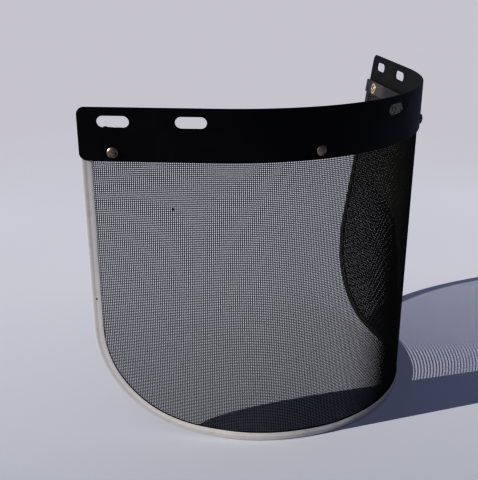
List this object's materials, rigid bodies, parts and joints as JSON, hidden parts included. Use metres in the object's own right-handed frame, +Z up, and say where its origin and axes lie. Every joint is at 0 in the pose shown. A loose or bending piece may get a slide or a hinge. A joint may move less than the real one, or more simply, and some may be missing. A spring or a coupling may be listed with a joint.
{
  "type": "face shield",
  "caption": "Curved wire-mesh face shield screen with a slotted brow band, riveted backing strip and metal edge channel.",
  "frame": {"origin": "under the middle of the overall box, on the surface that the screen stands on", "axes": "+Z up from hem to rim, -Y out of the bulging front, X along the width, symmetric about X = 0"},
  "size_m": [0.3056, 0.1163, 0.203],
  "materials": {
    "band_black": "smooth satin black",
    "strip_grey": "satin dark grey",
    "wire_black": "black coated steel wire, plain weave",
    "channel_aluminium": "mill finish, folded",
    "rivet_nickel": "nickel plated, domed",
    "washer_brass": "dull brass"
  },
  "bodies": {
    "root": {"brow_band": "band_black", "backing_strip": "strip_grey", "mesh_screen": "wire_black", "edge_channel": "channel_aluminium", "rivet_left_end": "rivet_nickel", "rivet_left": "rivet_nickel", "rivet_right": "rivet_nickel", "rivet_right_end": "rivet_nickel", "washer_left_end": "washer_brass", "washer_left": "washer_brass", "washer_right": "washer_brass", "washer_right_end": "washer_brass"}
  },
  "joints": []
}
